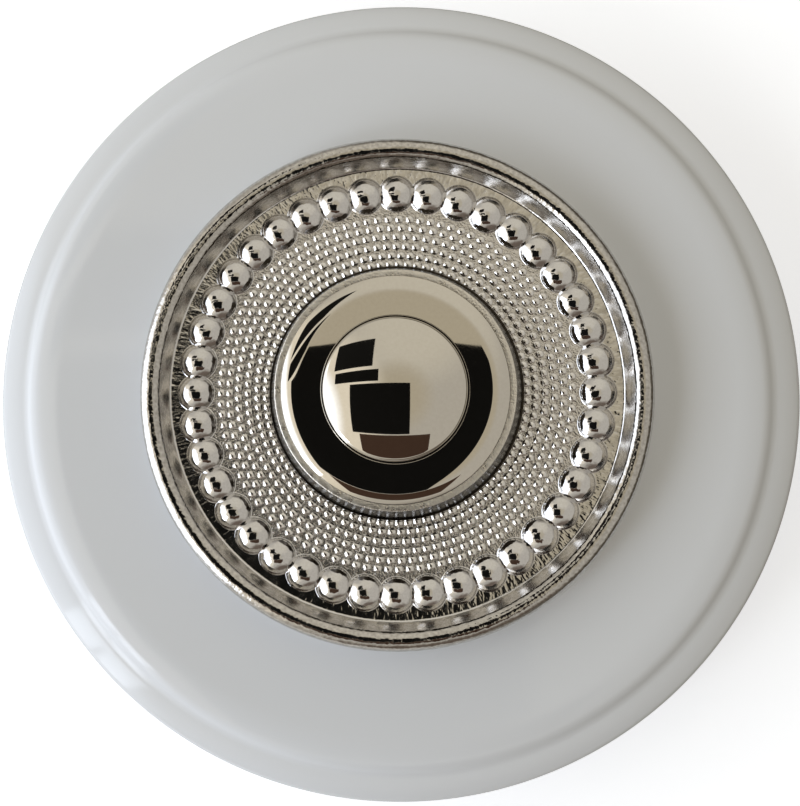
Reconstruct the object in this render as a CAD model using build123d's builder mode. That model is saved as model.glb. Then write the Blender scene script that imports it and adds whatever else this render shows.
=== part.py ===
from build123d import *
import os
from math import asin, cos, degrees, pi, radians, sin, sqrt, tan

# Round bell push on a turned mounting block, lying on its back, in millimetres.
# The wall face of the block is at Z = 0, and +Z points out of the wall along the press axis.
# Heights that end in _z are measured from the wall, and all other sizes are plain lengths.

# Mounting block: the flat face eases off over a shoulder, a cove and a swelling ledge to the edge
block_diameter = 96.5
block_height = 15.0
back_chamfer = 0.8
ease_round = 12.0
ease_slope = 14.0
shoulder_round = 2.5
shoulder_slope = 45.0
cove_round = 2.2
cove_slope = 14.0
ledge_round = 9.0
ledge_slope = 30.0
edge_round = 1.0

# Pocket in the block for the contacts, with the wire and wall screw holes in its floor
pocket_depth = 7.0
pocket_clearance = 0.4
wire_hole_diameter = 10.0
wall_hole_diameter = 4.6
wall_hole_inset = 5.6

# Rose: rolled rim, beaded ring, flat field and a boss with draft, which carries the collar
rose_diameter = 60.0
rose_wall = 1.2
field_height = 2.9
rim_rise = 2.0
rim_round = 1.3
rim_slope = 55.0
bead_radius = 2.15
bead_height = 1.1
bead_sink = 0.1
bead_pitch = 3.7
bead_rim_gap = 0.9
boss_height = 4.1
boss_draft = 11.6
lip_width = 0.75
foot_step = 0.25
skirt_wall = 1.3
skirt_length = 3.5
skirt_ledge = 2.4

# Collar: cushion ring in a seat in the boss, with a spigot and a ring nut behind
collar_diameter = 26.2
collar_clearance = 0.05
collar_roll_width = 2.1
collar_round = 4.65
collar_stand = 0.75
seat_depth = 0.8
seat_width = 1.95
spigot_length = 4.0
nut_gap = 0.15
nut_height = 1.5
nut_slot_width = 1.6
nut_slot_depth = 0.6

# Button and its insulating plunger
button_diameter = 16.6
button_clearance = 0.15
button_stand = 0.5
button_dome_radius = 22.0
button_edge_round = 0.5
button_travel = 1.8
button_flange_width = 1.6
button_flange_height = 1.3
plunger_diameter = 5.0
plunger_length = 3.6
plunger_head_diameter = 9.0
plunger_head_height = 0.8
press_clearance = 0.02

# Contact base: a moulded cup with a threaded wall and two terminal bosses
base_floor = 2.5
base_wall = 2.6
base_top_gap = 0.6
thread_clearance = 0.1
terminal_inset = 7.1
terminal_boss_diameter = 8.4
fixed_boss_height = 0.5
spring_boss_height = 1.6
fence_length = 8.0
fence_wall = 1.2
fence_gap = 0.1

# Contact strips
strip_width = 7.0
strip_thickness = 0.4
strip_bend_radius = 1.0
strip_hole_clearance = 0.2
spring_reach = 5.5
fixed_reach = 6.0
contact_offset = 3.2
contact_radius = 1.2
contact_height = 0.5
stop_clearance = 0.1

# Terminal screws, washers and moulded inserts, and the wood screws of the base
terminal_thread_diameter = 3.0
terminal_head_diameter = 5.4
terminal_head_height = 1.6
screw_slot_width = 0.7
screw_slot_depth = 0.7
washer_diameter = 6.2
washer_thickness = 0.5
insert_diameter = 4.4
insert_floor = 0.5
insert_end = 0.5
base_screw_diameter = 2.6
base_screw_head_diameter = 5.4
base_screw_length = 7.0
base_screw_inset = 5.6
base_screw_angle = 45.0
screw_clearance = 0.05
countersink_angle = 90.0

# Radii and heights that follow from the sizes above
block_radius = block_diameter / 2
face_z = block_height
pocket_z = face_z - pocket_depth
edge_run = edge_round * (1 - sin(radians(ledge_slope)))
ledge_run = ledge_round * (sin(radians(ledge_slope)) - sin(radians(cove_slope)))
cove_run = cove_round * (sin(radians(shoulder_slope)) - sin(radians(cove_slope)))
shoulder_run = shoulder_round * (sin(radians(shoulder_slope)) - sin(radians(ease_slope)))
ease_run = ease_round * sin(radians(ease_slope))
flat_radius = block_radius - edge_run - ledge_run - cove_run - shoulder_run - ease_run

rose_radius = rose_diameter / 2
field_z = face_z + field_height
under_z = field_z - rose_wall
crest_z = field_z + rim_rise
lip_z = field_z + boss_height
seat_z = lip_z - seat_depth
shelf_z = seat_z - rose_wall
skirt_z = face_z - skirt_length
skirt_radius = rose_radius - skirt_ledge
skirt_bore = skirt_radius - skirt_wall
pocket_radius = skirt_radius + pocket_clearance

collar_radius = collar_diameter / 2
collar_top_z = lip_z + collar_stand
collar_flat_radius = collar_radius - collar_roll_width
collar_edge_drop = collar_round - sqrt(collar_round**2 - collar_roll_width**2)
seat_radius = collar_radius + collar_clearance
lip_radius = seat_radius + lip_width
button_radius = button_diameter / 2
button_bore = button_radius + button_clearance
spigot_radius = collar_radius - seat_width
spigot_z = seat_z - spigot_length
shelf_bore = spigot_radius + collar_clearance
cavity_radius = lip_radius - rose_wall

flange_radius = button_radius + button_flange_width
button_flange_z = spigot_z - button_flange_height
button_edge_z = collar_top_z + button_stand
dome_rise = button_dome_radius - sqrt(button_dome_radius**2 - button_radius**2)
plunger_radius = plunger_diameter / 2
plunger_z = button_flange_z - plunger_head_height

base_radius = skirt_bore - thread_clearance
base_bore = base_radius - base_wall
base_top_z = under_z - base_top_gap
floor_z = pocket_z + base_floor
terminal_x = base_bore - terminal_inset
terminal_boss_radius = terminal_boss_diameter / 2
fixed_boss_z = floor_z + fixed_boss_height
spring_boss_z = floor_z + spring_boss_height
insert_radius = insert_diameter / 2
insert_z = pocket_z + insert_floor
thread_radius = terminal_thread_diameter / 2
terminal_clamp = strip_thickness + washer_thickness
terminal_grip = fixed_boss_z - insert_z - insert_end
base_screw_radius = base_screw_diameter / 2
base_screw_ring = base_bore - base_screw_inset
wall_hole_ring = base_bore - wall_hole_inset
half_strip = strip_thickness / 2
spring_z = plunger_z - half_strip
contact_top_z = plunger_z - button_travel - strip_thickness - stop_clearance
fence_y = (strip_width + fence_wall) / 2 + fence_gap

# The two terminals: the side of the base each stands on and the top of its boss
terminals = [(-terminal_x, spring_boss_z), (terminal_x, fixed_boss_z)]
wall_holes = [(0, wall_hole_ring), (0, -wall_hole_ring)]


def base_screw_places():
    """Two wood screws on opposite sides of the base, between the terminals and the wall holes."""
    return PolarLocations(base_screw_ring, 2, start_angle=base_screw_angle)


# Turned block with a gloss finish, bored from the front for the contact base
with BuildPart() as mounting_block:
    with BuildSketch(Plane.XZ):
        with BuildLine():
            ease = JernArc((flat_radius, face_z), (1, 0), ease_round, -ease_slope)
            shoulder = JernArc(ease @ 1, ease % 1, shoulder_round, ease_slope - shoulder_slope)
            cove = JernArc(shoulder @ 1, shoulder % 1, cove_round, shoulder_slope - cove_slope)
            ledge = JernArc(cove @ 1, cove % 1, ledge_round, cove_slope - ledge_slope)
            edge = JernArc(ledge @ 1, ledge % 1, edge_round, ledge_slope - 90)
            Polyline(
                edge @ 1,
                (block_radius, back_chamfer),
                (block_radius - back_chamfer, 0),
                (0, 0),
                (0, face_z),
                ease @ 0,
            )
        make_face()
    revolve(axis=Axis.Z)
    with BuildSketch(Plane.XY.offset(pocket_z)):
        Circle(pocket_radius)
    extrude(amount=pocket_depth, mode=Mode.SUBTRACT)
    with BuildSketch(Plane.XY):
        Circle(wire_hole_diameter / 2)
        with Locations(*wall_holes):
            Circle(wall_hole_diameter / 2)
    extrude(amount=pocket_z, mode=Mode.SUBTRACT)
    with BuildSketch(Plane.XY.offset(floor_z - base_screw_length)):
        with base_screw_places():
            Circle(base_screw_radius + screw_clearance)
    extrude(amount=base_screw_length - base_floor, mode=Mode.SUBTRACT)

# Cast rose, one piece: the section is spun, then the beads stand in a ring on the field
rim_centre = (rose_radius - rim_round, crest_z - rim_round)
rim_wall_radius = rim_centre[0] - rim_round * sin(radians(rim_slope))
rim_wall_z = rim_centre[1] + rim_round * cos(radians(rim_slope))
rim_base_radius = rim_wall_radius - (rim_wall_z - field_z) / tan(radians(rim_slope))
flank_run = (boss_height - foot_step) * tan(radians(boss_draft))
flank_base_radius = lip_radius + flank_run
foot_radius = flank_base_radius + foot_step
bead_ring_radius = rim_base_radius - bead_rim_gap - bead_radius
bead_count = round(2 * pi * bead_ring_radius / bead_pitch)
bead_sphere = (bead_radius**2 + bead_height**2) / (2 * bead_height)
bead_latitude = degrees(asin(1 - (bead_height + bead_sink) / bead_sphere))

with BuildPart() as rose:
    with BuildSketch(Plane.XZ):
        with BuildLine():
            rim_roll = CenterArc(rim_centre, rim_round, 0, 90 + rim_slope)
            Polyline(
                rim_roll @ 1,
                (rim_base_radius, field_z),
                (foot_radius, field_z),
                (foot_radius, field_z + foot_step),
                (flank_base_radius, field_z + foot_step),
                (lip_radius, lip_z),
                (seat_radius, lip_z),
                (seat_radius, seat_z),
                (shelf_bore, seat_z),
                (shelf_bore, shelf_z),
                (cavity_radius, shelf_z),
                (flank_base_radius - rose_wall, under_z),
                (skirt_bore, under_z),
                (skirt_bore, skirt_z),
                (skirt_radius, skirt_z),
                (skirt_radius, face_z),
                (rose_radius, face_z),
                rim_roll @ 0,
            )
        make_face()
    revolve(axis=Axis.Z)
    with Locations((0, 0, field_z - bead_sink)):
        with PolarLocations(bead_ring_radius, bead_count):
            Sphere(bead_sphere, bead_latitude, align=(Align.CENTER, Align.CENTER, Align.MIN))

# Polished collar: flat near the button, rolled over to the lip, bored for the button
with BuildPart() as button_collar:
    with BuildSketch(Plane.XZ):
        with BuildLine():
            collar_edge = (collar_radius, collar_top_z - collar_edge_drop)
            crown = (collar_flat_radius, collar_top_z)
            RadiusArc(collar_edge, crown, -collar_round)
            Polyline(
                crown,
                (button_bore, collar_top_z),
                (button_bore, spigot_z),
                (spigot_radius, spigot_z),
                (spigot_radius, seat_z),
                (collar_radius, seat_z),
                collar_edge,
            )
        make_face()
    revolve(axis=Axis.Z)

# Ring nut behind the shelf of the boss, with two slots for a pin spanner
with BuildPart() as collar_nut:
    with BuildSketch(Plane.XY.offset(shelf_z - nut_height)):
        Circle(cavity_radius - nut_gap)
        Circle(spigot_radius + thread_clearance, mode=Mode.SUBTRACT)
    extrude(amount=nut_height)
    with BuildSketch(Plane.XY.offset(shelf_z - nut_height)):
        Rectangle(nut_slot_width, 2 * cavity_radius)
    extrude(amount=nut_slot_depth, mode=Mode.SUBTRACT)

# Domed button with a flange that stops under the collar, drilled for the plunger
with BuildPart() as button:
    with BuildSketch(Plane.XZ) as button_section:
        with BuildLine():
            apex = (0, button_edge_z + dome_rise)
            dome_edge = (button_radius, button_edge_z)
            RadiusArc(apex, dome_edge, button_dome_radius)
            Polyline(
                dome_edge,
                (button_radius, spigot_z),
                (flange_radius, spigot_z),
                (flange_radius, button_flange_z),
                (0, button_flange_z),
                apex,
            )
        make_face()
        fillet(button_section.vertices().group_by(Axis.X)[1].sort_by(Axis.Y)[-1], button_edge_round)
    revolve(axis=Axis.Z)
    with BuildSketch(Plane.XY.offset(button_flange_z)):
        Circle(plunger_radius + press_clearance)
    extrude(amount=plunger_length, mode=Mode.SUBTRACT)

# Insulating plunger: a stem in the button and a head that bears on the spring contact
with BuildPart() as plunger:
    with BuildSketch(Plane.XY.offset(plunger_z)):
        Circle(plunger_head_diameter / 2)
    extrude(amount=plunger_head_height)
    with BuildSketch(Plane.XY.offset(button_flange_z)):
        Circle(plunger_radius)
    extrude(amount=plunger_length)

# Moulded base: a cup whose outer wall carries the rose, with a boss under each terminal
with BuildPart() as contact_base:
    with BuildSketch(Plane.XY.offset(pocket_z)):
        Circle(base_radius)
    extrude(amount=base_top_z - pocket_z)
    with BuildSketch(Plane.XY.offset(floor_z)):
        Circle(base_bore)
    extrude(amount=base_top_z - floor_z, mode=Mode.SUBTRACT)
    for boss_x, boss_z in terminals:
        with BuildSketch(Plane.XY.offset(pocket_z)):
            with Locations((boss_x, 0)):
                Circle(terminal_boss_radius)
        extrude(amount=boss_z - pocket_z)
        with BuildSketch(Plane.XY.offset(floor_z)):
            with Locations((boss_x, fence_y), (boss_x, -fence_y)):
                Rectangle(fence_length, fence_wall)
        extrude(amount=boss_z + strip_thickness - floor_z)
        with BuildSketch(Plane.XY.offset(insert_z)):
            with Locations((boss_x, 0)):
                Circle(insert_radius + press_clearance)
        extrude(amount=boss_z - insert_z, mode=Mode.SUBTRACT)
    with BuildSketch(Plane.XY.offset(pocket_z)):
        Circle(wire_hole_diameter / 2)
        with Locations(*wall_holes):
            Circle(wall_hole_diameter / 2)
    extrude(amount=base_floor, mode=Mode.SUBTRACT)
    with Locations((0, 0, floor_z)):
        with base_screw_places():
            CounterSinkHole(
                base_screw_radius + screw_clearance,
                base_screw_head_diameter / 2 + screw_clearance,
                counter_sink_angle=countersink_angle,
            )

# Spring contact: its foot lies on the taller boss, and the leaf rises under the plunger
foot_end = terminal_x + strip_width / 2
foot_start = terminal_x - terminal_boss_radius

with BuildPart() as spring_contact:
    with BuildSketch(Plane.XZ):
        with BuildLine():
            FilletPolyline(
                (-foot_end, spring_boss_z + half_strip),
                (-foot_start, spring_boss_z + half_strip),
                (-plunger_radius - strip_bend_radius, spring_z),
                (spring_reach, spring_z),
                radius=strip_bend_radius,
            )
        trace(line_width=strip_thickness)
    extrude(amount=strip_width / 2, both=True)
    with BuildSketch(Plane.XY.offset(spring_boss_z)):
        with Locations((-terminal_x, 0)):
            Circle(thread_radius + strip_hole_clearance)
    extrude(amount=strip_thickness, mode=Mode.SUBTRACT)
    with BuildSketch(Plane.XY.offset(spring_z - half_strip - contact_height)):
        with Locations((contact_offset, 0)):
            Circle(contact_radius)
    extrude(amount=contact_height)

# Fixed contact: its foot lies on the lower boss, and the end steps up under the leaf
with BuildPart() as fixed_contact:
    with BuildSketch(Plane.XZ):
        with BuildLine():
            FilletPolyline(
                (foot_end, fixed_boss_z + half_strip),
                (foot_start, fixed_boss_z + half_strip),
                (contact_offset + strip_width / 2, contact_top_z - half_strip),
                (contact_offset - fixed_reach, contact_top_z - half_strip),
                radius=strip_bend_radius,
            )
        trace(line_width=strip_thickness)
    extrude(amount=strip_width / 2, both=True)
    with BuildSketch(Plane.XY.offset(fixed_boss_z)):
        with Locations((terminal_x, 0)):
            Circle(thread_radius + strip_hole_clearance)
    extrude(amount=strip_thickness, mode=Mode.SUBTRACT)


def make_terminal_insert(x, boss_z):
    """Brass insert moulded into a boss, open at the top."""
    with BuildPart() as insert:
        with BuildSketch(Plane.XY.offset(insert_z)):
            with Locations((x, 0)):
                Circle(insert_radius)
        extrude(amount=boss_z - insert_z)
        with BuildSketch(Plane.XY.offset(boss_z - terminal_grip)):
            with Locations((x, 0)):
                Circle(thread_radius + screw_clearance)
        extrude(amount=terminal_grip, mode=Mode.SUBTRACT)
    return insert.part


def make_terminal_washer(x, boss_z):
    """Flat washer between the strip and the screw head."""
    with BuildPart() as washer:
        with BuildSketch(Plane.XY.offset(boss_z + strip_thickness)):
            with Locations((x, 0)):
                Circle(washer_diameter / 2)
                Circle(thread_radius + strip_hole_clearance, mode=Mode.SUBTRACT)
        extrude(amount=washer_thickness)
    return washer.part


def make_terminal_screw(x, boss_z):
    """Slotted cheese-head screw on its washer."""
    head_z = boss_z + terminal_clamp
    with BuildPart() as screw:
        with BuildSketch(Plane.XY.offset(boss_z - terminal_grip)):
            with Locations((x, 0)):
                Circle(thread_radius)
        extrude(amount=terminal_grip + terminal_clamp)
        with BuildSketch(Plane.XY.offset(head_z)):
            with Locations((x, 0)):
                Circle(terminal_head_diameter / 2)
        extrude(amount=terminal_head_height)
        with BuildSketch(Plane.XY.offset(head_z + terminal_head_height - screw_slot_depth)):
            with Locations((x, 0)):
                Rectangle(screw_slot_width, terminal_head_diameter)
        extrude(amount=screw_slot_depth, mode=Mode.SUBTRACT)
    return screw.part


def make_base_screw(place):
    """Slotted countersunk wood screw, flush with the floor of the base."""
    head_radius = base_screw_head_diameter / 2
    head_depth = (head_radius - base_screw_radius) / tan(radians(countersink_angle / 2))
    with BuildPart() as screw:
        with BuildSketch(Plane.XZ):
            with BuildLine():
                Polyline(
                    (0, -base_screw_length),
                    (base_screw_radius, -base_screw_length + base_screw_radius),
                    (base_screw_radius, -head_depth),
                    (head_radius, 0),
                    (0, 0),
                    close=True,
                )
            make_face()
        revolve(axis=Axis.Z)
        with BuildSketch(Plane.XY.offset(-screw_slot_depth)):
            Rectangle(screw_slot_width, base_screw_head_diameter)
        extrude(amount=screw_slot_depth, mode=Mode.SUBTRACT)
    return screw.part.moved(Pos(0, 0, floor_z) * place)


pieces = {
    "mounting_block": mounting_block.part,
    "rose": rose.part,
    "button_collar": button_collar.part,
    "collar_nut": collar_nut.part,
    "button": button.part,
    "plunger": plunger.part,
    "contact_base": contact_base.part,
    "spring_contact": spring_contact.part,
    "fixed_contact": fixed_contact.part,
}
for number, (boss_x, boss_z) in enumerate(terminals, start=1):
    pieces[f"terminal_insert_{number}"] = make_terminal_insert(boss_x, boss_z)
    pieces[f"terminal_washer_{number}"] = make_terminal_washer(boss_x, boss_z)
    pieces[f"terminal_screw_{number}"] = make_terminal_screw(boss_x, boss_z)
for number, place in enumerate(base_screw_places().locations, start=1):
    pieces[f"base_screw_{number}"] = make_base_screw(place)

os.makedirs("parts", exist_ok=True)
for name, piece in pieces.items():
    piece.label = name
    export_step(piece, f"parts/{name}.step")
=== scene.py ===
# %% [markdown]
# A round bell push: a sprung domed button in a polished collar, a beaded and stippled nickel rose,
# and a turned white block behind them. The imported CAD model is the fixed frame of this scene.
# Every piece below is drawn in the same place and at the same size as the solid that it dresses.

# %% Load the frame
import math

import bmesh
import bpy
from mathutils import Matrix, Vector


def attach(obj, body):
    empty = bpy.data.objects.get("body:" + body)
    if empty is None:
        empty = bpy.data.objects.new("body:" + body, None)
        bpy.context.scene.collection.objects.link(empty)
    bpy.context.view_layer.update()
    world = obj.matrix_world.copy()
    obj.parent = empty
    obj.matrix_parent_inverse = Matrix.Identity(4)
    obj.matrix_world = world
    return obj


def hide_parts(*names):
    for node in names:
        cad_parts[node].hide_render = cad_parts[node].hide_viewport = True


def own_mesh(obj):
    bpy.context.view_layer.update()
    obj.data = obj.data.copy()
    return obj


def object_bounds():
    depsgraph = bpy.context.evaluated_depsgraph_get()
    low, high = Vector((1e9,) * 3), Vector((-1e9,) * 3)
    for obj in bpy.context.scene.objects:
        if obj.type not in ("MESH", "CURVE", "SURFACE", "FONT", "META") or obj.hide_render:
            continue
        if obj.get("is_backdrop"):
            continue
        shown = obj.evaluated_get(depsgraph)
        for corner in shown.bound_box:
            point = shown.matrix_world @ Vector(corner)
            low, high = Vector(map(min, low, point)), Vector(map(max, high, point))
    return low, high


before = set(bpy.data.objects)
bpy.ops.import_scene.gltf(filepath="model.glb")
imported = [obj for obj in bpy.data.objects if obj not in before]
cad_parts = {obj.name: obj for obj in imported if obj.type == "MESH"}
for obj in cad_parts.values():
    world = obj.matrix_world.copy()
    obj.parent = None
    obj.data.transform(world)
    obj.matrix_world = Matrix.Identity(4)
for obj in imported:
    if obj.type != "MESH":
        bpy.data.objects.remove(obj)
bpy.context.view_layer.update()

MM = 0.001

# %% [markdown]
# Colours are written as sRGB hex values, as a paint chart gives them. Blender's sockets want linear
# light, so one function converts them. A second function adds one node with its settings, values
# and links, so that every finish below reads as a short list of what is laid over what.

# %% Helpers for finishes
MIX_FROM, MIX_TO, MIX_RESULT = 6, 7, 2  # where a Mix node keeps its two colours and its result


def hex_colour(text):
    """An sRGB hex value as the linear colour that a socket takes."""
    shares = [int(text[i:i + 2], 16) / 255 for i in (1, 3, 5)]
    linear = [s / 12.92 if s <= 0.04045 else ((s + 0.055) / 1.055) ** 2.4 for s in shares]
    return (*linear, 1.0)


def per_mm(size):
    """Texture scale, in Object coordinates of metres, for a feature of that many millimetres."""
    return 1 / (size * MM)


def add_node(tree, kind, values=None, links=None, **settings):
    """Add a node: settings are its own options, values fill its sockets, links feed them."""
    node = tree.nodes.new(kind)
    for option, value in settings.items():
        setattr(node, option, value)
    for socket, value in (values or {}).items():
        node.inputs[socket].default_value = value
    for socket, source in (links or {}).items():
        tree.links.new(node.inputs[socket], source)
    return node


def new_finish(name, **values):
    """A material with its Principled shader set, and the Object coordinates that its patterns read."""
    material = bpy.data.materials.new(name)
    material.use_nodes = True
    tree = material.node_tree
    shader = tree.nodes["Principled BSDF"]
    for socket, value in values.items():
        shader.inputs[socket.replace("_", " ")].default_value = value
    place = add_node(tree, "ShaderNodeTexCoord").outputs["Object"]
    print("finish:", name)
    return material, tree, shader, place


# %% [markdown]
# The block is turned hardwood under sprayed white gloss. The eye reads the gloss from soft mirror
# images, and the spray from a faint orange-peel ripple and a few dust nibs caught in the last coat.
# Ripple and nibs could be modelled, but they are hundredths of a millimetre high, so they are bump.

# %% Gloss white lacquer
RIPPLE_MM, NIB_MM, NIB_SPACING_MM, TONE_MM = 2.2, 0.30, 9.0, 45.0
lacquer, tree, shader, place = new_finish("sprayed_gloss_white_lacquer", IOR=1.5)
tone = add_node(tree, "ShaderNodeTexNoise", {"Scale": per_mm(TONE_MM), "Detail": 2.0}, {"Vector": place})
colour = add_node(tree, "ShaderNodeMix", {MIX_FROM: hex_colour("#E7EBF0"), MIX_TO: hex_colour("#E2E5E8")},
                  {"Factor": tone.outputs["Fac"]}, data_type="RGBA")
tree.links.new(shader.inputs["Base Color"], colour.outputs[MIX_RESULT])
haze = add_node(tree, "ShaderNodeMapRange", {"To Min": 0.05, "To Max": 0.11}, {"Value": tone.outputs["Fac"]})
tree.links.new(shader.inputs["Roughness"], haze.outputs["Result"])
ripple = add_node(tree, "ShaderNodeTexNoise", {"Scale": per_mm(RIPPLE_MM), "Detail": 1.0}, {"Vector": place})
dust = add_node(tree, "ShaderNodeTexVoronoi", {"Scale": per_mm(NIB_SPACING_MM)}, {"Vector": place})
nib = add_node(tree, "ShaderNodeMapRange",
               {"From Max": NIB_MM / NIB_SPACING_MM, "To Min": 1.0, "To Max": 0.0},
               {"Value": dust.outputs["Distance"]})
peel = add_node(tree, "ShaderNodeBump", {"Strength": 0.10, "Distance": 0.02 * MM},
                {"Height": ripple.outputs["Fac"]})
bumps = add_node(tree, "ShaderNodeBump", {"Strength": 0.35, "Distance": 0.03 * MM},
                 {"Height": nib.outputs["Result"], "Normal": peel.outputs["Normal"]})
tree.links.new(shader.inputs["Normal"], bumps.outputs["Normal"])

# %% [markdown]
# The back and the bored pocket of the block were never sprayed, so they show pale beech. Its grain is
# noise drawn out along one axis, and a finer noise over it gives the short dark flecks of the wood.

# %% Bare beech
FLECK_MM, GRAIN_MM, ALONG_GRAIN = 0.5, 3.0, 0.12
beech, tree, shader, place = new_finish("bare_turned_beech", Roughness=0.62, IOR=1.45)
along = add_node(tree, "ShaderNodeMapping", {"Scale": (1.0, ALONG_GRAIN, 1.0)}, {"Vector": place}).outputs[0]
grain = add_node(tree, "ShaderNodeTexNoise", {"Scale": per_mm(GRAIN_MM), "Detail": 4.0}, {"Vector": along})
fleck = add_node(tree, "ShaderNodeTexNoise", {"Scale": per_mm(FLECK_MM), "Detail": 2.0}, {"Vector": along})
fibre = add_node(tree, "ShaderNodeMath", links={0: grain.outputs["Fac"], 1: fleck.outputs["Fac"]},
                 operation="MULTIPLY")
shade = add_node(tree, "ShaderNodeMapRange", {"From Min": 0.12, "From Max": 0.42},
                 {"Value": fibre.outputs[0]})
colour = add_node(tree, "ShaderNodeMix", {MIX_FROM: hex_colour("#B98F63"), MIX_TO: hex_colour("#DCBE94")},
                  {"Factor": shade.outputs["Result"]}, data_type="RGBA")
tree.links.new(shader.inputs["Base Color"], colour.outputs[MIX_RESULT])
pores = add_node(tree, "ShaderNodeBump", {"Strength": 0.25, "Distance": 0.05 * MM},
                 {"Height": fibre.outputs[0]})
tree.links.new(shader.inputs["Normal"], pores.outputs["Normal"])

# %% [markdown]
# Every bright part is brass under bright nickel: a warm, slightly yellow silver. What changes from
# surface to surface is how smooth the brass was before plating, so one function makes every finish
# from a fine grain and a longer ripple. Where a tool or a cloth went round the rose or across its
# floor, the marks run the same way, so the pattern can be drawn in coordinates that go round the
# press axis. The grain is coarser than the real one, which is too fine to show in the render.

# %% Nickel plate over brass
FLOOR_RING_MM = 25.5
NOISE_LOW, NOISE_HIGH = 0.3, 0.7  # nearly all of a noise lies between these


def round_axis(tree, place, stretch):
    """Coordinates that run round the press axis, with the run along the radius drawn out by that much."""
    x, y, z = add_node(tree, "ShaderNodeSeparateXYZ", links={0: place}).outputs
    angle = add_node(tree, "ShaderNodeMath", links={0: y, 1: x}, operation="ARCTAN2")
    arc = add_node(tree, "ShaderNodeMath", {1: FLOOR_RING_MM * MM}, {0: angle.outputs[0]},
                   operation="MULTIPLY")
    level = add_node(tree, "ShaderNodeVectorMath", {1: (1, 1, 0)}, {0: place}, operation="MULTIPLY")
    reach = add_node(tree, "ShaderNodeVectorMath", links={0: level.outputs[0]}, operation="LENGTH")
    run = add_node(tree, "ShaderNodeMath", {1: 1 / stretch}, {0: reach.outputs["Value"]},
                   operation="MULTIPLY")
    joined = add_node(tree, "ShaderNodeCombineXYZ", links={0: arc.outputs[0], 1: run.outputs[0], 2: z})
    return joined.outputs[0]


def nickel(name, tint, shadow, rough, grain_mm, grain_height, ripple_mm, ripple_height, stretch=1.0):
    """Nickel plate over brass whose own surface has a fine grain and a longer ripple, in millimetres."""
    material, tree, shader, place = new_finish(name, Metallic=1.0)
    if stretch != 1.0:
        place = round_axis(tree, place, stretch)
    ripple = add_node(tree, "ShaderNodeTexNoise", {"Scale": per_mm(ripple_mm), "Detail": 2.0},
                      {"Vector": place})
    grain = add_node(tree, "ShaderNodeTexNoise", {"Scale": per_mm(grain_mm), "Detail": 1.5},
                     {"Vector": place})
    colour = add_node(tree, "ShaderNodeMix", {MIX_FROM: hex_colour(shadow), MIX_TO: hex_colour(tint)},
                      {"Factor": grain.outputs["Fac"]}, data_type="RGBA")
    tree.links.new(shader.inputs["Base Color"], colour.outputs[MIX_RESULT])
    haze = add_node(tree, "ShaderNodeMapRange",
                    {"From Min": NOISE_LOW, "From Max": NOISE_HIGH, "To Min": rough[0], "To Max": rough[1]},
                    {"Value": ripple.outputs["Fac"]})
    tree.links.new(shader.inputs["Roughness"], haze.outputs["Result"])
    waves = add_node(tree, "ShaderNodeBump", {"Strength": 1.0, "Distance": ripple_height * MM},
                     {"Height": ripple.outputs["Fac"]})
    grit = add_node(tree, "ShaderNodeBump", {"Strength": 1.0, "Distance": grain_height * MM},
                    {"Height": grain.outputs["Fac"], "Normal": waves.outputs["Normal"]})
    tree.links.new(shader.inputs["Normal"], grit.outputs["Normal"])
    return material


# %% [markdown]
# The turned button and collar are polished. The rose is cast, and no two of its surfaces are alike:
# beads and dots keep a slight ripple of the mould, the field between the dots keeps its grain, the
# floor outside the beads is scratched across, the wall inside the rim is rubbed round and round, and
# the rim is worn. The top of the boss was dressed flat with a file, so it sparkles. The side of the
# boss below the lip is nickel painted near black, which is painted shade of the recess under the lip.

# %% Polished, cast, scratched, rubbed, worn and filed nickel, and nickel with painted recess shade
polished_nickel = nickel("polished_nickel_on_turned_brass", "#DCD8D0", "#D4CFC6", (0.015, 0.035),
                         grain_mm=0.4, grain_height=0.00002, ripple_mm=6.0, ripple_height=0.0004)
cast_nickel = nickel("bright_nickel_on_cast_brass", "#E4E3E3", "#D4D2D1", (0.04, 0.09),
                     grain_mm=0.25, grain_height=0.006, ripple_mm=1.3, ripple_height=0.070)
dot_nickel = nickel("bright_nickel_on_cast_dots", "#F6F5F3", "#E0DDD9", (0.06, 0.12),
                    grain_mm=0.3, grain_height=0.008, ripple_mm=0.9, ripple_height=0.03)
field_nickel = nickel("nickel_on_grained_field", "#F8F6F3", "#C0BBB5", (0.16, 0.28),
                      grain_mm=0.22, grain_height=0.07, ripple_mm=0.9, ripple_height=0.08)
floor_nickel = nickel("nickel_on_scratched_floor", "#F8F6F2", "#A29E98", (0.08, 0.16),
                      grain_mm=0.42, grain_height=0.085, ripple_mm=1.1, ripple_height=0.05, stretch=2.2)
wall_nickel = nickel("nickel_on_rubbed_rim_wall", "#F0EDE8", "#B6B1AA", (0.17, 0.29),
                     grain_mm=0.5, grain_height=0.010, ripple_mm=1.6, ripple_height=0.016, stretch=0.4)
rim_nickel = nickel("nickel_on_worn_rim", "#E4E2DF", "#A6A29D", (0.05, 0.16),
                    grain_mm=0.45, grain_height=0.03, ripple_mm=1.4, ripple_height=0.07)
filed_nickel = nickel("nickel_on_filed_lip", "#F8F4EC", "#DCD7CE", (0.26, 0.40),
                      grain_mm=0.25, grain_height=0.06, ripple_mm=0.8, ripple_height=0.05)
# Painted shade: the side of the boss below the lip is nickel painted near black, standing in for the shade of
# the recess.
recess_shade_nickel = nickel("nickel_painted_with_recess_shade", "#4A443C", "#1E1B18", (0.20, 0.36),
                     grain_mm=0.3, grain_height=0.008, ripple_mm=1.2, ripple_height=0.01)

# %% [markdown]
# The pieces inside the block are out of sight unless the push is taken apart or seen through the
# wire hole: a brown phenolic moulding, turned brass, a rolled bronze strip, a nylon plunger and zinc
# plated screws. Brass and bronze shine yellow and reddish, zinc is a cool grey, and phenolic and
# nylon have a low gloss. Their solids have the right shape already, so each only needs a finish. One
# function varies tone and roughness by the marks of the making, drawn coarser than real, to show.

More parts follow.
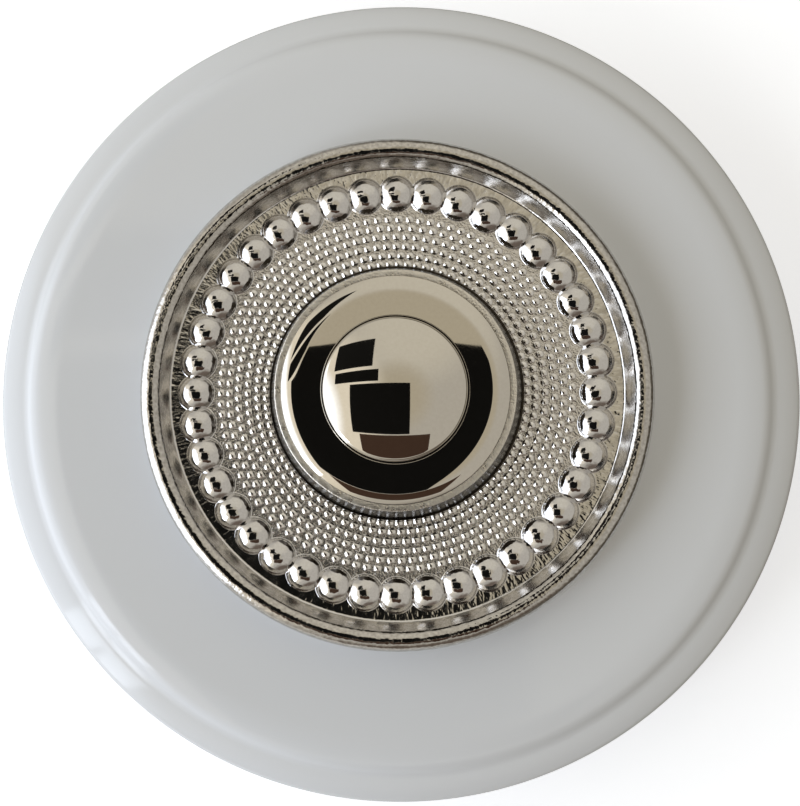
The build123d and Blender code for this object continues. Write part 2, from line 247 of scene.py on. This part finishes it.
# %% Finishes of the inner pieces
def inner_finish(name, light, dark, metallic, rough, mark_mm, mark_height):
    """A plain working finish with marks of that size from its making, in millimetres."""
    material, tree, shader, place = new_finish(name, Metallic=metallic)
    marks = add_node(tree, "ShaderNodeTexNoise", {"Scale": per_mm(mark_mm), "Detail": 4.0}, {"Vector": place})
    colour = add_node(tree, "ShaderNodeMix", {MIX_FROM: hex_colour(dark), MIX_TO: hex_colour(light)},
                      {"Factor": marks.outputs["Fac"]}, data_type="RGBA")
    tree.links.new(shader.inputs["Base Color"], colour.outputs[MIX_RESULT])
    haze = add_node(tree, "ShaderNodeMapRange", {"To Min": rough[0], "To Max": rough[1]},
                    {"Value": marks.outputs["Fac"]})
    tree.links.new(shader.inputs["Roughness"], haze.outputs["Result"])
    relief = add_node(tree, "ShaderNodeBump", {"Strength": 0.5, "Distance": mark_height * MM},
                      {"Height": marks.outputs["Fac"]})
    tree.links.new(shader.inputs["Normal"], relief.outputs["Normal"])
    return material


phenolic = inner_finish("moulded_brown_phenolic", "#4A2E20", "#2E1B12", 0.0, (0.25, 0.5), 1.8, 0.02)
brass = inner_finish("turned_brass", "#D9B565", "#B98F43", 1.0, (0.12, 0.30), 0.6, 0.01)
bronze = inner_finish("rolled_phosphor_bronze", "#C98F5E", "#A86C42", 1.0, (0.15, 0.32), 0.8, 0.008)
nylon = inner_finish("turned_natural_nylon", "#E6DFCC", "#D8CFB8", 0.0, (0.35, 0.55), 0.9, 0.015)
zinc = inner_finish("zinc_plated_steel", "#C3C7CC", "#9FA3A6", 1.0, (0.20, 0.42), 0.7, 0.01)

inner = {"contact_base": phenolic, "plunger": nylon, "fixed_contact": bronze, "collar_nut": brass}
for side in (1, 2):
    inner[f"base_screw_{side}"] = zinc
    for terminal in ("insert", "washer", "screw"):
        inner[f"terminal_{terminal}_{side}"] = brass
for node, finish in inner.items():
    for material_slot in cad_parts[node].material_slots:
        material_slot.material = finish
print("inner pieces dressed:", len(inner))

# %% [markdown]
# Everything that shows was turned on a lathe or cast from a turned pattern. So each piece starts as
# half a section, drawn like a pen line of vertices in millimetres of radius and height, and a spin
# about the press axis makes the solid. Corners are rounded on the line before the spin, with a
# vertex bevel. A spin leaves a seam and a pole, so doubles are merged and normals set again.

# %% Drawing and turning a section
ROUND_STEPS = 256
MERGE_MM = 0.0005


def draw_to(bm, vert, *corners):
    """Draw straight runs from a vertex through (radius, height) corners, and give back their vertices."""
    drawn = []
    for radius, height in corners:
        vert = bmesh.ops.extrude_vert_indiv(bm, verts=[vert])["verts"][0]
        vert.co = (radius * MM, 0, height * MM)
        drawn.append(vert)
    return drawn


def draw_arc(bm, vert, centre, degrees, steps):
    """Draw an arc from a vertex round a (radius, height) centre, anticlockwise, and give back its end."""
    arc = bmesh.ops.spin(bm, geom=[vert], cent=(centre[0] * MM, 0, centre[1] * MM), axis=(0, -1, 0),
                         angle=math.radians(degrees), steps=steps, use_duplicate=False)
    return [v for v in arc["geom_last"] if isinstance(v, bmesh.types.BMVert)][0]


def round_corner(bm, vert, reach, segments):
    """Round a corner of the line, starting that many millimetres before it."""
    bmesh.ops.bevel(bm, geom=[vert], offset=reach * MM, offset_type="OFFSET", segments=segments,
                    profile=0.5, affect="VERTICES", material=-1)


def turn(bm):
    """Spin the drawn section into a closed solid."""
    bmesh.ops.remove_doubles(bm, verts=bm.verts, dist=MERGE_MM * MM)
    bmesh.ops.spin(bm, geom=bm.verts[:] + bm.edges[:], cent=(0, 0, 0), axis=(0, 0, 1),
                   angle=math.tau, steps=ROUND_STEPS, use_merge=True, use_duplicate=False)
    bmesh.ops.remove_doubles(bm, verts=bm.verts, dist=MERGE_MM * MM)
    bmesh.ops.recalc_face_normals(bm, faces=bm.faces)
    print("turned:", len(bm.faces), "faces")


# %% [markdown]
# A mesh becomes an object with its finishes in one place. Smooth shading hides the facets of the
# spin, and edges that turn sharply are marked, so that a corner stays a corner. Weighted normals
# then keep a wide flat face flat where a small round meets it.

# %% From mesh to piece
SHARP = math.radians(32)


def shade_smooth(bm):
    """Shade the faces smooth and keep the sharp corners."""
    for face in bm.faces:
        face.smooth = True
    for edge in bm.edges:
        edge.smooth = not edge.is_manifold or edge.calc_face_angle() < SHARP


def link_mesh(name, bm, finishes):
    """Turn a bmesh into an object of the scene, with its place in its mesh."""
    mesh = bpy.data.meshes.new(name)
    bm.to_mesh(mesh)
    bm.free()
    for finish in finishes:
        mesh.materials.append(finish)
    thing = bpy.data.objects.new(name, mesh)
    bpy.context.scene.collection.objects.link(thing)
    return thing


def make_piece(name, bm, finishes):
    """Turn a bmesh into a smooth piece with its sharp corners kept."""
    shade_smooth(bm)
    piece = link_mesh(name, bm, finishes)
    print("piece:", name, len(piece.data.polygons), "faces")
    return piece


def weigh_normals(piece):
    """Let wide flat faces keep their own normal where a small round meets them."""
    shading = piece.modifiers.new("weighted_normals", "WEIGHTED_NORMAL")
    shading.weight = 100
    shading.keep_sharp = True


# %% [markdown]
# The flat face of the block eases off, drops over a small shoulder into a cove, and swells out again
# in a sloping ledge with a small rounded edge. Each is an arc that runs on from the one before, so
# each centre is found along the line where two arcs meet. Arcs are used, and not bevels, because
# gloss shows every radius. Behind the rose the block is bored for the contacts. The bore and the wire
# hole lie on the axis, so they are part of the section.

# %% Mounting block
POCKET_MM, POCKET_RADIUS_MM, POCKET_ROUND_MM, WIRE_MM = 8.0, 28.0, 0.3, 5.0
FACE_MM, FLAT_MM, CHAMFER_MM = 15.0, 40.3379, 0.8
EASE_MM, SHOULDER_MM, COVE_MM, LEDGE_MM, EDGE_MM = 12.0, 2.5, 2.2, 9.0, 1.0
EASE_SLOPE, SHOULDER_SLOPE, COVE_SLOPE, LEDGE_SLOPE = 14, 45, 14, 30
MOULDING_STEPS, EDGE_STEPS = 10, 12


def along_normal(centre, reach, slope):
    """The point that far from a (radius, height) centre, square to a surface that falls by that slope."""
    tilt = math.radians(slope)
    return centre[0] + reach * math.sin(tilt), centre[1] + reach * math.cos(tilt)


ease_centre = FLAT_MM, FACE_MM - EASE_MM
shoulder_centre = along_normal(ease_centre, EASE_MM - SHOULDER_MM, EASE_SLOPE)
cove_centre = along_normal(shoulder_centre, SHOULDER_MM + COVE_MM, SHOULDER_SLOPE)
ledge_centre = along_normal(cove_centre, -COVE_MM - LEDGE_MM, COVE_SLOPE)
edge_centre = along_normal(ledge_centre, LEDGE_MM - EDGE_MM, LEDGE_SLOPE)
BLOCK_MM = edge_centre[0] + EDGE_MM
print("block: radius", round(BLOCK_MM, 3), "mm, widest at", round(edge_centre[1], 3), "mm")

bm = bmesh.new()
start = bm.verts.new((WIRE_MM * MM, 0, 0))
outside = draw_to(bm, start, (BLOCK_MM - CHAMFER_MM, 0), (BLOCK_MM, CHAMFER_MM), (BLOCK_MM, edge_centre[1]))
edge = draw_arc(bm, outside[-1], edge_centre, 90 - LEDGE_SLOPE, EDGE_STEPS)
ledge = draw_arc(bm, edge, ledge_centre, LEDGE_SLOPE - COVE_SLOPE, MOULDING_STEPS)
cove = draw_arc(bm, ledge, cove_centre, COVE_SLOPE - SHOULDER_SLOPE, MOULDING_STEPS)
shoulder = draw_arc(bm, cove, shoulder_centre, SHOULDER_SLOPE - EASE_SLOPE, MOULDING_STEPS)
flat = draw_arc(bm, shoulder, ease_centre, EASE_SLOPE, MOULDING_STEPS)
mouth = draw_to(bm, flat, (POCKET_RADIUS_MM, FACE_MM), (POCKET_RADIUS_MM, POCKET_MM),
                (WIRE_MM, POCKET_MM), (WIRE_MM, 0))[0]
round_corner(bm, mouth, POCKET_ROUND_MM, 3)
turn(bm)
block = make_piece("turned_block", bm, [lacquer, beech])

# %% [markdown]
# The screw holes are off the axis, so they can't be turned. They are drilled as they would be on the
# bench: cones with straight sides stand where the drill goes, and a Boolean modifier, baked into the
# mesh, takes them out. What is then in the pocket or on the back gets the bare beech.

# %% Screw holes
SCREW_RING_MM, WALL_HOLE_MM, PILOT_MM, PILOT_FROM_MM = 18.0, 2.3, 1.35, 3.5
OVERSHOOT_MM, HOLE_STEPS, BACK_MM, SLIGHT_MM = 1.0, 48, 0.02, 0.01
LACQUERED, BARE = 0, 1
diagonal = SCREW_RING_MM * math.cos(math.radians(45))
wall_holes = [(0, SCREW_RING_MM), (0, -SCREW_RING_MM)]
pilot_holes = [(diagonal, diagonal), (-diagonal, -diagonal)]

cutter = bmesh.new()
for holes, radius, low in ((wall_holes, WALL_HOLE_MM, -OVERSHOOT_MM), (pilot_holes, PILOT_MM, PILOT_FROM_MM)):
    depth = POCKET_MM + OVERSHOOT_MM - low
    for x, y in holes:
        middle = Matrix.Translation((x * MM, y * MM, (low + depth / 2) * MM))
        bmesh.ops.create_cone(cutter, cap_ends=True, segments=HOLE_STEPS, radius1=radius * MM,
                              radius2=radius * MM, depth=depth * MM, matrix=middle)
drill = make_piece("drill", cutter, [beech])
cut = block.modifiers.new("holes", "BOOLEAN")
cut.operation, cut.solver, cut.object = "DIFFERENCE", "EXACT", drill
drilled = bpy.data.meshes.new_from_object(block.evaluated_get(bpy.context.evaluated_depsgraph_get()))
block.modifiers.remove(cut)
bpy.data.objects.remove(drill)
bm = bmesh.new()
bm.from_mesh(drilled)
shade_smooth(bm)
bm.to_mesh(drilled)
bm.free()
block.data = drilled
for face in block.data.polygons:
    in_pocket = math.hypot(face.center.x, face.center.y) < (POCKET_RADIUS_MM + SLIGHT_MM) * MM
    face.material_index = BARE if in_pocket or face.center.z < BACK_MM * MM else LACQUERED
weigh_normals(block)
print("block:", len(block.data.polygons), "faces after drilling")

# %% [markdown]
# The rose is one casting: a rolled rim, a ring of beads, a field of small dots, and a tapered boss
# that carries the collar. Rim, field, boss and the skirt behind them are round, so they are turned
# from one section. Beads and dots stand on the field, and follow below.

# %% Section of the rose
ROSE_MM, RIM_MM, RIM_HEIGHT_MM, RIM_SWEEP, RIM_STEPS = 30.0, 1.3, 18.6, 145, 22
FIELD_MM, FOOT_MM, FOOT_STEP_MM, BEAD_RING_MM, RIM_FOOT_MM = 17.9, 14.94, 0.25, 23.57, 26.62
LIP_MM, LIP_IN_MM, LIP_OUT_MM = 22.0, 13.15, 13.9
SEAT_MM, SPIGOT_HOLE_MM, BOSS_BACK_MM, BOSS_BACK_OUT_MM = 21.2, 11.2, 20.0, 12.7
BACK_FOOT_MM, FIELD_BACK_MM = 13.49, 16.7
SKIRT_IN_MM, SKIRT_OUT_MM, SKIRT_END_MM = 26.3, 27.6, 11.5

bm = bmesh.new()
start = bm.verts.new((ROSE_MM * MM, 0, FACE_MM * MM))
side = draw_to(bm, start, (ROSE_MM, RIM_HEIGHT_MM))[0]
crest = draw_arc(bm, side, (ROSE_MM - RIM_MM, RIM_HEIGHT_MM), RIM_SWEEP, RIM_STEPS)
front = draw_to(bm, crest, (RIM_FOOT_MM, FIELD_MM), (BEAD_RING_MM, FIELD_MM), (FOOT_MM, FIELD_MM),
                (FOOT_MM, FIELD_MM + FOOT_STEP_MM), (FOOT_MM - FOOT_STEP_MM, FIELD_MM + FOOT_STEP_MM),
                (LIP_OUT_MM, LIP_MM), (LIP_IN_MM, LIP_MM))
rim_foot, step, lip_out, lip_in = front[0], front[3], front[5], front[6]
draw_to(bm, lip_in, (LIP_IN_MM, SEAT_MM), (SPIGOT_HOLE_MM, SEAT_MM), (SPIGOT_HOLE_MM, BOSS_BACK_MM),
        (BOSS_BACK_OUT_MM, BOSS_BACK_MM), (BACK_FOOT_MM, FIELD_BACK_MM), (SKIRT_IN_MM, FIELD_BACK_MM),
        (SKIRT_IN_MM, SKIRT_END_MM), (SKIRT_OUT_MM, SKIRT_END_MM), (SKIRT_OUT_MM, FACE_MM),
        (ROSE_MM, FACE_MM))
for corner, reach, segments in ((rim_foot, 0.2, 4), (step, 0.08, 3), (lip_out, 0.10, 3), (lip_in, 0.06, 3)):
    round_corner(bm, corner, reach, segments)
turn(bm)

# %% [markdown]
# Each surface of the real rose was worked in its own way after casting. Faces could be picked by
# hand, but every surface has its own radius and height on the section, so a rule by place finds
# them, and it still holds when the number of steps round the axis is changed.

# %% Finishes of the rose
CAST, DOTS, FIELD, FLOOR, WALL, RIM, FILED, RECESS = range(8)
ROSE_FINISHES = [cast_nickel, dot_nickel, field_nickel, floor_nickel, wall_nickel, rim_nickel,
                 filed_nickel, recess_shade_nickel]
WALL_TOP_MM, WALL_OUT_MM, RIM_IN_MM, MARGIN_MM = 19.2, 28.0, 27.5, 0.1


def rose_finish(reach, height):
    """The finish of the rose at a radius and a height in millimetres."""
    if abs(height - FIELD_MM) < SLIGHT_MM and FOOT_MM < reach < RIM_FOOT_MM:
        return FIELD if reach < BEAD_RING_MM else FLOOR
    if height > LIP_MM - MARGIN_MM and LIP_IN_MM - SLIGHT_MM < reach < LIP_OUT_MM + MARGIN_MM / 2:
        return FILED
    # The side of the boss below the lip takes the nickel with painted recess shade.
    if FIELD_MM + 2 * MARGIN_MM < height < LIP_MM - MARGIN_MM and LIP_OUT_MM - MARGIN_MM < reach < FOOT_MM:
        return RECESS
    if FIELD_MM + MARGIN_MM < height < WALL_TOP_MM and RIM_FOOT_MM - MARGIN_MM < reach < WALL_OUT_MM:
        return WALL
    if height > RIM_HEIGHT_MM and reach > RIM_IN_MM:
        return RIM
    return CAST


for face in bm.faces:
    middle = face.calc_center_median()
    face.material_index = rose_finish(math.hypot(middle.x, middle.y) / MM, middle.z / MM)
print("rose:", len({face.material_index for face in bm.faces}), "finishes on the turned section")

# %% [markdown]
# Beads and dots are low domes: caps of a ball, cut off by a plane. A bead is large enough to show
# the fillet at its foot, so its cut edge is drawn out a little and bevelled. One bead is made, and a
# spin with copies sets the others round the axis, as a wheel would on the real pattern.

# %% Beads
BEADS, BEAD_MM, BEAD_RISE_MM = 40, 2.15, 1.1
BEAD_FILLET_MM, BEAD_FLARE, BEAD_SINK_MM = 0.16, 1.4, 0.04


def ball_cap(radius, rise, around, up):
    """A dome of that radius and rise in millimetres, standing on the origin, and the edges of its foot."""
    ball = (radius ** 2 + rise ** 2) / (2 * rise)
    cap = bmesh.new()
    bmesh.ops.create_uvsphere(cap, u_segments=around, v_segments=up, radius=ball * MM)
    cut = bmesh.ops.bisect_plane(cap, geom=cap.verts[:] + cap.edges[:] + cap.faces[:], dist=1e-7,
                                 plane_co=(0, 0, (ball - rise) * MM), plane_no=(0, 0, 1), clear_inner=True)
    foot = [e for e in cut["geom_cut"] if isinstance(e, bmesh.types.BMEdge)]
    bmesh.ops.translate(cap, verts=cap.verts, vec=(0, 0, (rise - ball) * MM))
    return cap, foot


def set_round(bm, count):
    """Copy what is drawn to that many places round the press axis."""
    bmesh.ops.spin(bm, geom=bm.verts[:] + bm.edges[:] + bm.faces[:], cent=(0, 0, 0), axis=(0, 0, 1),
                   angle=math.tau * (count - 1) / count, steps=count - 1, use_duplicate=True)


beads, girdle = ball_cap(BEAD_MM, BEAD_RISE_MM, around=32, up=40)
flare = bmesh.ops.extrude_edge_only(beads, edges=girdle)["geom"]
flare = [v for v in flare if isinstance(v, bmesh.types.BMVert)]
spread = 1 + BEAD_FILLET_MM * BEAD_FLARE / BEAD_MM
bmesh.ops.scale(beads, verts=flare, vec=(spread, spread, 1))
bmesh.ops.translate(beads, verts=flare, vec=(0, 0, -BEAD_SINK_MM * MM))
bmesh.ops.bevel(beads, geom=girdle, offset=BEAD_FILLET_MM * MM, offset_type="OFFSET", segments=4,
                profile=0.5, affect="EDGES", material=-1)
bmesh.ops.holes_fill(beads, edges=beads.edges, sides=0)
bmesh.ops.translate(beads, verts=beads.verts, vec=(BEAD_RING_MM * MM, 0, FIELD_MM * MM))
set_round(beads, BEADS)
print("rose: beads of", len(beads.faces), "faces")

# %% [markdown]
# The stipple is six rings of dots, each ring with its own count, and every second ring turned by half
# a step. There are hundreds, so a dot has only a few dozen faces. Bump could draw them, but their
# round shadows and highlights come from real domes.

# %% Stipple dots
DOT_MM, DOT_RISE_MM = 0.53, 0.25
DOT_ROWS = [(15.21, 89), (16.22, 92), (17.35, 96), (18.50, 98), (19.56, 98), (20.57, 103)]


def add_mesh(bm, extra):
    """Add one bmesh to another."""
    mesh = bpy.data.meshes.new("added")
    extra.to_mesh(mesh)
    extra.free()
    bm.from_mesh(mesh)
    bpy.data.meshes.remove(mesh)


dots = bmesh.new()
for row, (radius, count) in enumerate(DOT_ROWS):
    dot, foot = ball_cap(DOT_MM, DOT_RISE_MM, around=10, up=12)
    bmesh.ops.holes_fill(dot, edges=foot, sides=0)
    bmesh.ops.translate(dot, verts=dot.verts, vec=(radius * MM, 0, FIELD_MM * MM))
    half_step = Matrix.Rotation(math.pi / count * (row % 2), 3, "Z")
    bmesh.ops.rotate(dot, verts=dot.verts, cent=(0, 0, 0), matrix=half_step)
    set_round(dot, count)
    add_mesh(dots, dot)
for face in dots.faces:
    face.material_index = DOTS
print("rose: dots of", len(dots.faces), "faces")

# %% [markdown]
# Beads and dots stand with closed feet on the field. A Boolean would weld them to it, but with some
# six hundred of them it is slow and leaves slivers, so they join the mesh of the rose as they are.

# %% Beaded rose
for relief in (beads, dots):
    bmesh.ops.recalc_face_normals(relief, faces=relief.faces)
    add_mesh(bm, relief)
rose = make_piece("beaded_rose", bm, ROSE_FINISHES)
weigh_normals(rose)

# %% [markdown]
# The collar is flat beside the button and rolls over to the lip of the boss. A spigot below goes
# through the boss, where a nut holds it. It is turned and polished, so the roll is a true arc with
# many steps: a mirror shows every flat.

# %% Collar
COLLAR_MM, COLLAR_TOP_MM, ROLL_FROM_MM, ROLL_MM = 13.1, 22.75, 11.0, 4.65
SPIGOT_MM, SPIGOT_END_MM, COLLAR_BORE_MM, COLLAR_ROUND_MM, ROLL_STEPS = 11.15, 17.2, 8.45, 0.12, 24
bm = bmesh.new()
start = bm.verts.new((ROLL_FROM_MM * MM, 0, COLLAR_TOP_MM * MM))
roll = math.degrees(math.asin((COLLAR_MM - ROLL_FROM_MM) / ROLL_MM))
edge = draw_arc(bm, start, (ROLL_FROM_MM, COLLAR_TOP_MM - ROLL_MM), -roll, ROLL_STEPS)
mouth = draw_to(bm, edge, (COLLAR_MM, SEAT_MM), (SPIGOT_MM, SEAT_MM), (SPIGOT_MM, SPIGOT_END_MM),
                (COLLAR_BORE_MM, SPIGOT_END_MM), (COLLAR_BORE_MM, COLLAR_TOP_MM),
                (ROLL_FROM_MM, COLLAR_TOP_MM))[-2]
round_corner(bm, mouth, COLLAR_ROUND_MM, 4)
turn(bm)
collar = make_piece("polished_collar", bm, [polished_nickel])
weigh_normals(collar)

# %% [markdown]
# The button is a shallow dome with a softened edge. A flange below stops it under the collar, and a
# blind hole takes the plunger. The dome could be part of a ball, but a section keeps its edge, flange
# and hole in one line with it.

# %% Button
APEX_MM, DOME_MM, BUTTON_MM, BUTTON_EDGE_MM, DOME_STEPS = 24.876, 22.0, 8.3, 0.336, 20
FLANGE_MM, FLANGE_END_MM, PLUNGER_HOLE_MM, PLUNGER_TOP_MM = 9.9, 15.9, 2.52, 19.5
bm = bmesh.new()
start = bm.verts.new((0, 0, APEX_MM * MM))
sweep = math.degrees(math.asin(BUTTON_MM / DOME_MM))
edge = draw_arc(bm, start, (0, APEX_MM - DOME_MM), -sweep, DOME_STEPS)
draw_to(bm, edge, (BUTTON_MM, SPIGOT_END_MM), (FLANGE_MM, SPIGOT_END_MM), (FLANGE_MM, FLANGE_END_MM),
        (PLUNGER_HOLE_MM, FLANGE_END_MM), (PLUNGER_HOLE_MM, PLUNGER_TOP_MM), (0, PLUNGER_TOP_MM))
round_corner(bm, edge, BUTTON_EDGE_MM, 8)
turn(bm)
button = make_piece("domed_button", bm, [polished_nickel])
weigh_normals(button)

# %% [markdown]
# The leaf of the spring contact bends as the plunger pushes it down. A copy of its solid, with the
# loose triangles merged, stands in for it on a mesh of its own.

# %% Spring leaf
bm = bmesh.new()
bm.from_mesh(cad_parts["spring_contact"].data)
bmesh.ops.remove_doubles(bm, verts=bm.verts, dist=MERGE_MM * MM)
leaf = make_piece("bent_leaf", bm, [bronze])
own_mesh(leaf)

# %% [markdown]
# Each dressed piece rides on the body of the solid that it stands for: the button on the sprung
# The table also names the record's material slot of that solid.

# %% Bodies, slots and the solids they stand for
for piece, body, node, slot in (
    (block, "base", "mounting_block", "white_gloss_block"),
    (rose, "base", "rose", "plated_rose"),
    (collar, "base", "button_collar", "polished_plate"),
    (button, "push", "button", "polished_plate"),
    (leaf, "base", "spring_contact", "spring_bronze"),
):
    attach(piece, body)
    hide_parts(node)
    print(piece.name, "rides on", body)

# %% [markdown]
# The push lies on its back on a white floor, under soft light. Bright metal shows only what is
# around it, so the studio is laid out for the mirror images. The floor and a round backdrop far
# behind it are for the camera alone: the metal doesn't mirror them, and they throw no light on it.

# %% Floor and backdrop
FLOOR_HALF_M, FLOOR_LIFT_MM = 8.0, 0.02
BACKDROP_M, BACKDROP_DEPTH_M, BACKDROP_STEPS = 6.0, 6.0, 96
scene = bpy.context.scene
scene.view_settings.view_transform = "Standard"
paper = new_finish("white_paper_sweep", Roughness=0.9, Base_Color=hex_colour("#F4F4F2"),
                   Emission_Color=hex_colour("#F2F6FF"), Emission_Strength=0.5)[0]


def set_stage(name, bm, finish):
    """Turn a bmesh into a plain object of the studio, which is no part of the push."""
    prop = link_mesh(name, bm, [finish])
    prop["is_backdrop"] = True
    print("studio:", name)
    return prop


bm = bmesh.new()
bmesh.ops.create_grid(bm, x_segments=1, y_segments=1, size=FLOOR_HALF_M)
bmesh.ops.translate(bm, verts=bm.verts, vec=(0, 0, FLOOR_LIFT_MM * MM))
floor = set_stage("floor", bm, paper)
bm = bmesh.new()
bmesh.ops.create_cone(bm, cap_ends=False, segments=BACKDROP_STEPS, radius1=BACKDROP_M,
                      radius2=BACKDROP_M, depth=BACKDROP_DEPTH_M)
backdrop = set_stage("backdrop", bm, paper)
for prop in (floor, backdrop):
    prop.visible_glossy = prop.visible_diffuse = False
backdrop.visible_shadow = False

# %% [markdown]
# The surround is pale and warm, and painted by direction: each tone is laid over the ones before it,
# on one side of the studio, with a soft border. An image could wrap the studio instead, but tones by
# direction can be read and moved one by one. Two glows on the left are brighter than any paint, so
# they are lights of their own, mixed in the same way.

# %% Surround
UP = (0, 0, 1)
world = bpy.data.worlds.new("studio")
scene.world = world
world.use_nodes = True
tree = world.node_tree
direction = add_node(tree, "ShaderNodeTexCoord").outputs["Generated"]


def towards(way, low, high):
    """The share of a tone in each direction: 0 at low and 1 at high, by how far it points one way."""
    reach = add_node(tree, "ShaderNodeVectorMath", {1: way}, {0: direction}, operation="DOT_PRODUCT")
    part = add_node(tree, "ShaderNodeMapRange", {"From Min": low, "From Max": high},
                    {"Value": reach.outputs["Value"]}, interpolation_type="SMOOTHSTEP")
    return part.outputs["Result"]


tones = add_node(tree, "ShaderNodeRGB").outputs[0]
tones.default_value = hex_colour("#C3BEB4")
low_right = add_node(tree, "ShaderNodeMath", operation="MULTIPLY",
                     links={0: towards(UP, 0.40, 0.05), 1: towards((0.80, 0.25, 0), -0.45, 0.45)})
for tint, part in (
    ("#D8D2C4", towards((0.10, 0.70, 0.70), 0.70, 0.97)),  # paler, high beyond the top edge
    ("#71655B", towards((0.25, -0.96, 0.10), 0.74, 0.93)),  # darker, beyond the bottom edge
    ("#C0B7A3", towards(UP, 0.90, 0.99)),  # overhead
    ("#D8D6D0", towards(UP, 0.15, -0.05)),  # low down, all round
    ("#5E584E", low_right.outputs[0]),  # dark, low on the right
):
    layer = add_node(tree, "ShaderNodeMix", {MIX_TO: hex_colour(tint)}, {"Factor": part, MIX_FROM: tones},
                     data_type="RGBA")
    tones = layer.outputs[MIX_RESULT]
surround = tree.nodes["Background"]
surround.inputs["Strength"].default_value = 1.0
tree.links.new(surround.inputs["Color"], tones)
lit = surround.outputs[0]
for tint, strength, part in (
    ("#F7EEDC", 1.05, towards((-0.80, -0.10, 0.59), 0.62, 0.86)),  # warm upper glow
    ("#F0F6FF", 2.3, towards((-0.95, -0.17, 0.26), 0.76, 0.88)),  # cool low daylight
):
    glow = add_node(tree, "ShaderNodeBackground", {"Color": hex_colour(tint), "Strength": strength})
    lit = add_node(tree, "ShaderNodeMixShader", links={0: part, 1: lit, 2: glow.outputs[0]}).outputs[0]
tree.links.new(tree.nodes["World Output"].inputs["Surface"], lit)
print("surround:", len(tree.nodes), "nodes")

# %% [markdown]
# Cards over the push give the metal something dark to mirror, as on a table for product pictures:
# two black ones near it, a black one far up, and a brown one that warms the lower side. Dark paint
# on the metal would stay in place as the view turns, but a mirrored card moves as it should. The
# camera doesn't see the cards themselves. Corners are (x, y) in metres.

# %% Cards
NEAR_M, FAR_M = 0.200, 1.0
black = new_finish("black_card", Roughness=0.9, Base_Color=hex_colour("#101010"))[0]
brown = new_finish("brown_card", Roughness=0.9, Base_Color=hex_colour("#74584A"))[0]
for name, low, high, height, finish in (
    ("near_card", (-0.108, -0.085), (0.026, 0.025), NEAR_M, black),
    ("far_card", (-0.87, 0.345), (-0.29, 0.75), FAR_M, black),
    ("near_card_upper", (-0.157, 0.030), (-0.040, 0.056), NEAR_M, black),
    ("warm_card", (-0.090, -0.165), (0.075, -0.088), NEAR_M, brown),
):
    bm = bmesh.new()
    bmesh.ops.create_grid(bm, x_segments=1, y_segments=1, size=0.5)
    bmesh.ops.scale(bm, verts=bm.verts, vec=(high[0] - low[0], high[1] - low[1], 1))
    bmesh.ops.translate(bm, verts=bm.verts, vec=((low[0] + high[0]) / 2, (low[1] + high[1]) / 2, height))
    set_stage(name, bm, finish).visible_camera = False

# %% [markdown]
# The main light is a tall window of two panes, low on the left. A sun or a point would leave small
# round highlights on the gloss. Area lights have a pane's shape, so their mirror images have it too.
# Each pane stands some degrees clockwise from +Y, and faces the push.

# %% Window
WINDOW_ZENITH, WINDOW_AWAY_M = math.radians(60), 0.8
PANE_WIDTH_M, PANE_HEIGHT_M, PANE_WATTS, PANE_COLOUR = 0.085, 0.42, 0.45, "#EAF2FF"
for name, clockwise in (("window_left", 230.5), ("window_right", 238.5)):
    light = bpy.data.lights.new(name, "AREA")
    light.shape, light.size, light.size_y = "RECTANGLE", PANE_WIDTH_M, PANE_HEIGHT_M
    light.energy, light.color = PANE_WATTS, hex_colour(PANE_COLOUR)[:3]
    lamp = bpy.data.objects.new(name, light)
    azimuth = math.radians(clockwise)
    away = Vector((math.sin(azimuth) * math.sin(WINDOW_ZENITH), math.cos(azimuth) * math.sin(WINDOW_ZENITH),
                   math.cos(WINDOW_ZENITH)))
    lamp.location = away * WINDOW_AWAY_M
    lamp.rotation_euler = away.to_track_quat("Z", "Y").to_euler()
    scene.collection.objects.link(lamp)
    print("light:", name)

# %% [markdown]
# The camera stands where the photograph was taken: about 180 mm above the face, a little towards
# the lower edge. Its place and focal length come from fitting the circles of the object to it.

# %% Camera
IMAGE_WIDTH_PX, FOCAL_PX, SENSOR_MM = 800, 1535.05, 36.0
CAMERA_MM, TARGET_MM = Vector((5.79, -14.80, 196.94)), Vector((0.32, -1.00, 15.0))
lens = bpy.data.cameras.new("camera")
lens.sensor_fit, lens.sensor_width = "HORIZONTAL", SENSOR_MM
lens.lens = FOCAL_PX / IMAGE_WIDTH_PX * SENSOR_MM
lens.clip_start, lens.clip_end = 0.01, 20.0
camera = bpy.data.objects.new("camera", lens)
camera.location = CAMERA_MM * MM
ahead = (TARGET_MM - CAMERA_MM).normalized()
right = ahead.cross(Vector((0, 1, 0))).normalized()
camera.rotation_euler = Matrix((right, right.cross(ahead), -ahead)).transposed().to_euler()
scene.collection.objects.link(camera)
scene.camera = camera
print("camera:", round(lens.lens, 1), "mm lens at", [round(x, 4) for x in camera.location])

# %% Size
low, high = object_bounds()
print("visual box in mm", [round(x / MM, 2) for x in high - low])
